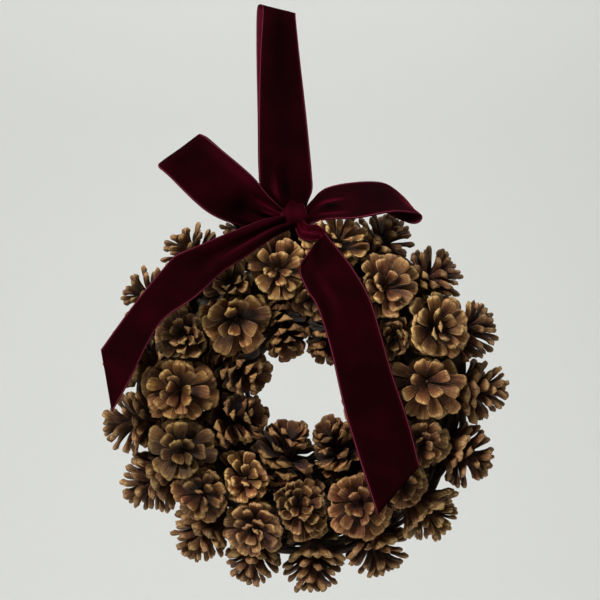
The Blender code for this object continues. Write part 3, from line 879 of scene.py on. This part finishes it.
def ribbons(velvet):
    strap = ribbon_piece("velvet_strap", strap_stations(), velvet, closed=True, folds=1.5,
                         phase=0.6, gathered=29 * MM)
    dress(strap, "hanging_ribbon")
    parts = [
        ribbon_piece("bow_left_loop", LEFT_LOOP, velvet, folds=2.5, phase=1.2),
        ribbon_piece("bow_right_loop", RIGHT_LOOP, velvet, flipped=True, folds=2.0, phase=2.0,
                     gathered=33 * MM),
        ribbon_piece("bow_left_tail", LEFT_TAIL, velvet, folds=1.5, phase=0.5, gathered=38 * MM),
        ribbon_piece("bow_right_tail", RIGHT_TAIL, velvet, folds=2.0, phase=2.4),
        ribbon_piece("bow_knot", KNOT, velvet, folds=1.0, phase=1.0, crown=6.0 * MM, wave=0.5 * MM,
                     gathered=27 * MM),
    ]
    for part in parts:
        dress(part, "bow")
    return [strap, *parts]


# The ring of vine


def tube(path, radius, sides, strand, roughen):
    """Points, faces and map of a closed tube round a looped path."""
    path = np.array(path)
    count = len(path)
    ahead = np.roll(path, -1, axis=0) - np.roll(path, 1, axis=0)
    ahead /= np.linalg.norm(ahead, axis=1, keepdims=True)
    side = np.cross(ahead, np.array([0.0, 1.0, 0.0]))
    side /= np.linalg.norm(side, axis=1, keepdims=True)
    up = np.cross(side, ahead)
    points = []
    values = []
    for i in range(count):
        for j in range(sides):
            turn = 2 * math.pi * j / sides
            out = math.cos(turn) * side[i] + math.sin(turn) * up[i]
            lump = noise.noise(Vector(path[i] + out * LUMP_REACH) * LUMPS + Vector((strand, 0, 0)))
            points.append(path[i] + out * radius * (1.0 + roughen * lump))
            values.append((i / count, j / sides, strand, 1.0))
    return points, tube_faces(count, sides, looped=True), values


def vine(bark):
    """Twisted strands, with loose thinner shoots behind them."""
    points, faces, values = [], [], []

    def add(*settings):
        more_points, more_faces, more_values = tube(*settings)
        start = len(points)
        points.extend(more_points)
        faces.extend(tuple(start + k for k in face) for face in more_faces)
        values.extend(more_values)

    for strand in range(STRANDS):
        path = []
        for i in range(STRAND_STEPS):
            clock = 2 * math.pi * i / STRAND_STEPS
            tilt = (2 * math.pi * strand - STRAND_TURNS * clock) / STRANDS
            axis, _ = directions(clock, tilt)
            path.append(vine_centre(clock) + STRAND_OFFSET * axis)
        add(path, STRAND_RADIUS, STRAND_SIDES, strand * STRAND_TONE, STRAND_ROUGH)
    draw = random.Random(SHOOT_SEED)
    for shoot in range(SHOOTS):
        middle = SHOOTS_FROM + (SHOOTS_TO - SHOOTS_FROM) * (shoot + 0.5) / SHOOTS
        phase = draw.uniform(0.0, math.tau)
        sways = draw.choice(SHOOT_SWAYS)
        depth = SHOOTS_BEHIND + draw.uniform(*SHOOT_DEPTHS) * MM
        thick = draw.uniform(*SHOOT_THICKNESS) * MM
        path = []
        for i in range(SHOOT_STEPS):
            clock = 2 * math.pi * i / SHOOT_STEPS
            wander = SHOOT_SWAY * math.sin(sways * clock + phase)
            wander += SHOOT_QUIVER * math.sin(SHOOT_QUIVERS * clock + shoot)
            outward, _ = directions(clock, 0.0)
            behind = depth + SHOOT_RISE * math.cos((sways + 1) * clock + phase)
            path.append(CENTRE + (middle + wander) * outward + Vector((0.0, behind, 0.0)))
        add(path, thick, SHOOT_SIDES, shoot * SHOOT_TONE, SHOOT_ROUGH)
    ring = new_piece("twisted_vine", points, faces, bark, {"bark_map": values})
    dress(ring, "vine_ring")
    return ring


# The cones


class Cone:
    """A cone's place and size, with a frame at its foot: side and front across, axis along."""

    def __init__(self, name, style, clock, tilt, length, width, lean=0):
        self.name = name
        self.style = style
        self.length = length * MM
        self.width = width * MM
        clock, tilt = math.radians(clock), math.radians(tilt)
        straight, along = directions(clock, tilt)
        self.axis = (straight + math.tan(math.radians(lean)) * along).normalized()
        self.side = (along - along.dot(self.axis) * self.axis).normalized()
        self.front = self.axis.cross(self.side)
        self.foot = vine_centre(clock) + VINE_RADIUS * self.axis
        self.planes = []

    def core(self, share):
        """The core's radius at a share of its length."""
        return CORE_RADIUS * (1.0 - CORE_TAPER * share**2)

    def backbone(self):
        """Points inside the core with the radius that they need clear round them."""
        top = CORE_SHARE * self.length
        return [
            (self.foot, STALK_RADIUS + CORE_GAP),
            (self.foot + STALK_LENGTH * self.axis, self.core(0.0) + CORE_GAP),
            (self.foot + 0.5 * top * self.axis, self.core(0.5) + CORE_GAP),
            (self.foot + (top + CROWN_HEIGHT) * self.axis, CROWN_RADIUS + CORE_GAP),
        ]

    def body(self):
        return self.foot + 0.5 * self.length * self.axis

    def room(self):
        """The share that it asks for of the space between it and a neighbour."""
        return self.width * self.style["room"]


def closest_between(a, b):
    """The direction of the shortest line from one cone's core to the other's."""
    shares = [CORE_SHARE * i / CORE_POINTS for i in range(CORE_POINTS + 1)]
    firsts = [a.foot + share * a.length * a.axis for share in shares]
    seconds = [b.foot + share * b.length * b.axis for share in shares]
    lines = [q - p for p in firsts for q in seconds]
    return min(lines, key=lambda line: line.length).normalized()


def parting_plane(a, b):
    """A plane between two cones that leaves both cores whole: its normal and distance."""
    bodies = b.body() - a.body()
    near = closest_between(a, b)
    first, second = a.room(), b.room()
    wanted = a.body() + first / (first + second) * bodies
    for step in range(PLANE_TURNS + 1):
        normal = bodies.normalized().lerp(near, step / PLANE_TURNS).normalized()
        low = max(normal.dot(p) + r for p, r in a.backbone())
        high = min(normal.dot(p) - r for p, r in b.backbone())
        if high - low > CLEARANCE:
            break
    return normal, min(max(normal.dot(wanted), low), high)


def part_cones(cones):
    """Give each cone the planes towards its neighbours that its scales stay behind."""
    for i, a in enumerate(cones):
        for b in cones[i + 1 :]:
            if (a.body() - b.body()).length > (a.length + b.length) / 2 + NEIGHBOUR_REACH:
                continue
            normal, distance = parting_plane(a, b)
            a.planes.append((*normal, distance - CLEARANCE / 2))
            b.planes.append((*-normal, -distance - CLEARANCE / 2))
    for cone in cones:
        cone.planes = np.array(cone.planes)


def reach_share(share):
    """A scale's length at a share up the core: longest a quarter of the way up, shortest on top."""
    drop = TOP_DROP * max(share - TOP_FROM, 0.0) / TOP_SPAN
    return REACH_FOOT + REACH_GAIN * share - REACH_CURVE * share**2 - drop


class Scale:
    """One scale's own form, drawn once, whatever its lift and length turn out to be."""

    def __init__(self, cone, index, draw):
        def drawn(key):
            return draw.uniform(*DRAWN[key])

        style = cone.style
        share = (index + 0.5) / style["count"]
        self.angle = index * GOLDEN_ANGLE + drawn("turn")
        climb = CORE_SHARE * cone.length - STALK_LENGTH
        self.height = STALK_LENGTH + climb * (FIRST_HEIGHT + HEIGHT_SHARE * share)
        self.root_radius = cone.core(share) - ROOT_SINK
        self.lift = LOW_LIFT + LIFT_GAIN * share + LIFT_CURVE * share**2.5
        self.lift += math.radians(style["lift"] + style["rise"] * share) + drawn("lift")
        self.reach = reach_share(share)
        self.reach *= (cone.width / 2 - CORE_RADIUS) * style["size"] * drawn("length")
        self.reach += ROOT_SINK
        self.half = style["wide"] * cone.width * (1.0 - style["narrow"] * share)
        self.half *= drawn("width")
        self.thick = style["thick"] * MM * (1.0 - THINNING * share) * drawn("thick")
        self.stout = style["thick"] > STOUT
        self.most = 1.0 + (style["spread"] - 1.0) * max(0.0, 1.0 - share / SPREAD_SHARE)
        self.ragged = drawn("ragged")
        self.curl = math.radians(style["curl"] + drawn("curl"))
        self.bend = math.radians(drawn("bend"))
        shell = min(max(style["cup"] + drawn("shell"), 0.0), 1.0)
        self.cup = drawn("cup") * (shell * SHELL_CUP + (1.0 - shell) * PILLOW_CUP)
        self.twist = drawn("twist")
        self.skew = drawn("skew")
        self.wave = drawn("wave") * MM
        self.phase = drawn("phase")
        self.tone = drawn("tone")

    def local_points(self, extra_lift, length):
        """Rows round the scale from root to tip: out from the core, across, and up the axis."""
        reach = self.reach * length * self.most
        bend = self.bend * (BEND_MIDDLE - ALONG)
        slope = self.lift + extra_lift + bend - self.curl * BENT_BACK
        steps = np.diff(ALONG, prepend=0.0) * reach
        out = np.cumsum(np.cos(slope) * steps)
        up = np.cumsum(np.sin(slope) * steps)
        widths = STOUT_WIDTH if self.stout else FAN_WIDTH
        half = self.half * widths * (WIDTH_KEPT + (1.0 - WIDTH_KEPT) * length)
        cup = (self.cup * half)[:, None] * (ACROSS**2 - CUP_LEVEL)
        wave = self.wave * (ALONG**2)[:, None] * np.sin(WAVES * ACROSS + self.phase)
        ridge = KEEL_HEIGHT * self.thick * KEEL * RIDGE_ROWS[:, None]
        if self.stout:
            body = STOUT_END[:, None] * OVAL_SWELL
        else:
            body = THIN_END[:, None] * FAN_SWELL + LIP[:, None]
        offset = self.thick * body + cup + wave - ridge
        roll = (self.twist * ALONG)[:, None]
        slant = slope[:, None]
        wide = half[:, None] * ACROSS
        y = wide * np.cos(roll) - offset * np.sin(roll)
        y = y + (self.skew * reach * ALONG**2)[:, None]
        lift = wide * np.sin(roll) + offset * np.cos(roll)
        notches = np.sin(NOTCHES * ACROSS + 2.0 * self.phase)
        uneven = self.ragged * (ALONG**4)[:, None] * notches
        x = out[:, None] - np.sin(slant) * lift + reach * uneven
        z = up[:, None] + np.cos(slant) * lift
        rows = np.stack([x, y, z], axis=2).reshape(-1, 3)
        end = rows[-ROUND:].mean(axis=0)
        outward = np.array([math.cos(slope[-1]), 0.0, math.sin(slope[-1])])
        return np.vstack([rows, end + outward * TIP_SHARE * reach])

    def place(self, cone, extra_lift, length):
        """The scale's points in the frame."""
        across = math.cos(self.angle) * cone.side + math.sin(self.angle) * cone.front
        axes = np.array([across, cone.axis.cross(across), cone.axis])
        root = cone.foot + self.root_radius * across + self.height * cone.axis
        return self.local_points(extra_lift, length) @ axes + np.array(root)


def scale_fits(points, cone, obstacles):
    """Whether a scale keeps inside its cone's own space and off the vines and ribbons."""
    if (points @ cone.planes[:, :3].T > cone.planes[:, 3]).any():
        return False
    if (points[:, 1] > BACK_LIMIT).any():
        return False
    outer = points[OUTER_POINTS]
    radius = np.hypot(outer[:, 0] - CENTRE.x, outer[:, 2] - CENTRE.z)
    if (np.hypot(radius - RING_RADIUS, outer[:, 1]) < VINE_RADIUS + BARK_GAP).any():
        return False
    root = Vector(points[0])
    for k in RIM_POINTS:
        point = Vector(points[k])
        if obstacles.find_nearest(point, RIBBON_GAP)[0] is not None:
            return False
        way = point - root
        if obstacles.ray_cast(root, way.normalized(), way.length)[0] is not None:
            return False
    return True


def scale_faces():
    """The faces of one scale: rows of quads, a fan at the tip and a lid at the root."""
    rows = len(ALONG)
    faces = tube_faces(rows, ROUND)
    last = (rows - 1) * ROUND
    for j in range(ROUND):
        faces.append((last + j, last + (j + 1) % ROUND, rows * ROUND))
    faces.append(tuple(reversed(range(ROUND))))
    return faces


def scale_map(tone):
    """Along, across, upper or lower face, and the scale's own tone, for each point."""
    along = np.append(np.repeat(ALONG, ROUND), 1.0)
    across = np.append(np.tile((ACROSS + 1.0) / 2.0, len(ALONG)), 0.5)
    upper = np.append(np.tile((FACING + 1.0) / 2.0, len(ALONG)), 0.5)
    return np.stack([along, across, upper, np.full(len(along), tone)], axis=1)


def core_mesh(cone):
    """The stalk and core, which the scales stand out of."""
    profile = [(STALK_RADIUS, -STALK_SINK), (STALK_RADIUS, STALK_STRAIGHT * STALK_LENGTH)]
    top = CORE_SHARE * cone.length
    for i in range(CORE_ROWS):
        share = i / (CORE_ROWS - 1)
        profile.append((cone.core(share), STALK_LENGTH + (top - STALK_LENGTH) * share))
    profile.append((CROWN_END * CORE_RADIUS * (1.0 - CORE_TAPER), top + CROWN_HEIGHT))
    points = []
    for radius, height in profile:
        for j in range(CORE_SIDES):
            turn = 2 * math.pi * j / CORE_SIDES
            out = math.cos(turn) * cone.side + math.sin(turn) * cone.front
            points.append(cone.foot + radius * out + height * cone.axis)
    faces = tube_faces(len(profile), CORE_SIDES)
    faces.append(tuple(reversed(range(CORE_SIDES))))
    faces.append(tuple(len(points) - CORE_SIDES + j for j in range(CORE_SIDES)))
    return np.array(points), faces


def make_cone(cone, obstacles, wood, draw):
    """The core and its scales, each in the first way that fits, or else in the last one."""
    style = cone.style
    points, faces = core_mesh(cone)
    maps = [np.tile(CORE_MAP, (len(points), 1))]
    blocks = [points]
    start = len(points)
    one = scale_faces()
    for index in range(style["count"]):
        scale = Scale(cone, index, draw)
        for extra, length in FITTINGS:
            placed = scale.place(cone, math.radians(extra), length)
            if scale_fits(placed, cone, obstacles):
                break
        blocks.append(placed)
        maps.append(scale_map(scale.tone))
        faces.extend(tuple(start + k for k in face) for face in one)
        start += len(placed)
    points = np.concatenate(blocks)
    tint = np.tile([style[key] for key in ("pale", "warm", "rim_highlight", "grey")], (len(points), 1))
    obj = new_piece(f"open_{cone.name}", points, faces, wood,
                    {"scale_map": np.concatenate(maps), "cone_map": tint})
    dress(obj, cone.name)


def surface_tree(objects):
    points, faces = [], []
    for obj in objects:
        start = len(points)
        points += [v.co.copy() for v in obj.data.vertices]
        faces += [[start + k for k in p.vertices] for p in obj.data.polygons]
    return BVHTree.FromPolygons(points, faces)


def all_cones(obstacles, wood):
    draw = random.Random(CONE_SEED)
    cones = []
    for group, listed in (("front", FRONT_CONES), ("outer", OUTER_CONES), ("inner", INNER_CONES)):
        for number, sizes in enumerate(listed, 1):
            label = f"{group}_{number:02d}"
            style = {**PLAIN, **GROUPS[group], **STYLES.get(label, {})}
            cones.append(Cone("cone_" + label, style, *sizes))
    part_cones(cones)
    for cone in cones:
        make_cone(cone, obstacles, wood, draw)


# The stage


def backdrop():
    """A pale sheet that lies below the wreath and curves up, well behind it."""
    floor_end = STAGE_DEPTH - STAGE_BEND
    profile = [(FLOOR_NEAR, FLOOR_HEIGHT), (floor_end, FLOOR_HEIGHT)]
    for i in range(1, BEND_STEPS + 1):
        turn = math.pi / 2 * i / BEND_STEPS
        y = floor_end + STAGE_BEND * math.sin(turn)
        profile.append((y, FLOOR_HEIGHT + STAGE_BEND * (1.0 - math.cos(turn))))
    profile.append((STAGE_DEPTH, STAGE_TOP))
    points = []
    for y, z in profile:
        points += [(-STAGE_HALF_WIDTH, y, z), (STAGE_HALF_WIDTH, y, z)]
    faces = [(2 * i, 2 * i + 1, 2 * i + 3, 2 * i + 2) for i in range(len(profile) - 1)]
    pale = plain_material("pale_stage", STAGE_COLOUR, 0.9)
    sheet = new_piece("backdrop", points, faces, pale, {})


def lamp(name, place, target, size, power, colour):
    data = bpy.data.lights.new(name, "AREA")
    data.shape = "DISK"
    data.size = size
    data.energy = power
    data.color = colour
    obj = add_object(name, data)
    obj.location = place
    obj.rotation_euler = (Vector(target) - Vector(place)).to_track_quat("-Z", "Y").to_euler()


def lights():
    """Soft lamps, and a pale room that lights less than it shows."""
    for name, settings in LAMPS.items():
        lamp(name, *settings)
    world = bpy.data.worlds.new("pale_room")
    world.use_nodes = True
    tree = world.node_tree
    seen = tree.nodes.new("ShaderNodeLightPath").outputs["Is Camera Ray"]
    strength = tree.nodes.new("ShaderNodeMapRange")
    strength.inputs["To Min"].default_value = ROOM_LIGHT
    strength.inputs["To Max"].default_value = ROOM_SEEN
    tree.links.new(seen, strength.inputs["Value"])
    tree.links.new(strength.outputs[0], tree.nodes["Background"].inputs["Strength"])
    tree.nodes["Background"].inputs["Color"].default_value = ROOM_COLOUR
    bpy.context.scene.world = world
    bpy.context.scene.view_settings.view_transform = "Standard"


def camera():
    data = bpy.data.cameras.new("camera")
    data.lens = LENS
    data.sensor_width = SENSOR
    obj = add_object("camera", data)
    turn = (LOOKS_AT - EYE).to_track_quat("-Z", "Y").to_matrix() @ Matrix.Rotation(ROLL, 3, "Z")
    obj.matrix_world = Matrix.Translation(EYE) @ turn.to_4x4()
    bpy.context.scene.camera = obj


def main():
    camera()
    lights()
    backdrop()
    velvet = velvet_material()
    pieces = ribbons(velvet)
    ring = vine(bark_material())
    all_cones(surface_tree([*pieces, ring]), cone_material())


main()
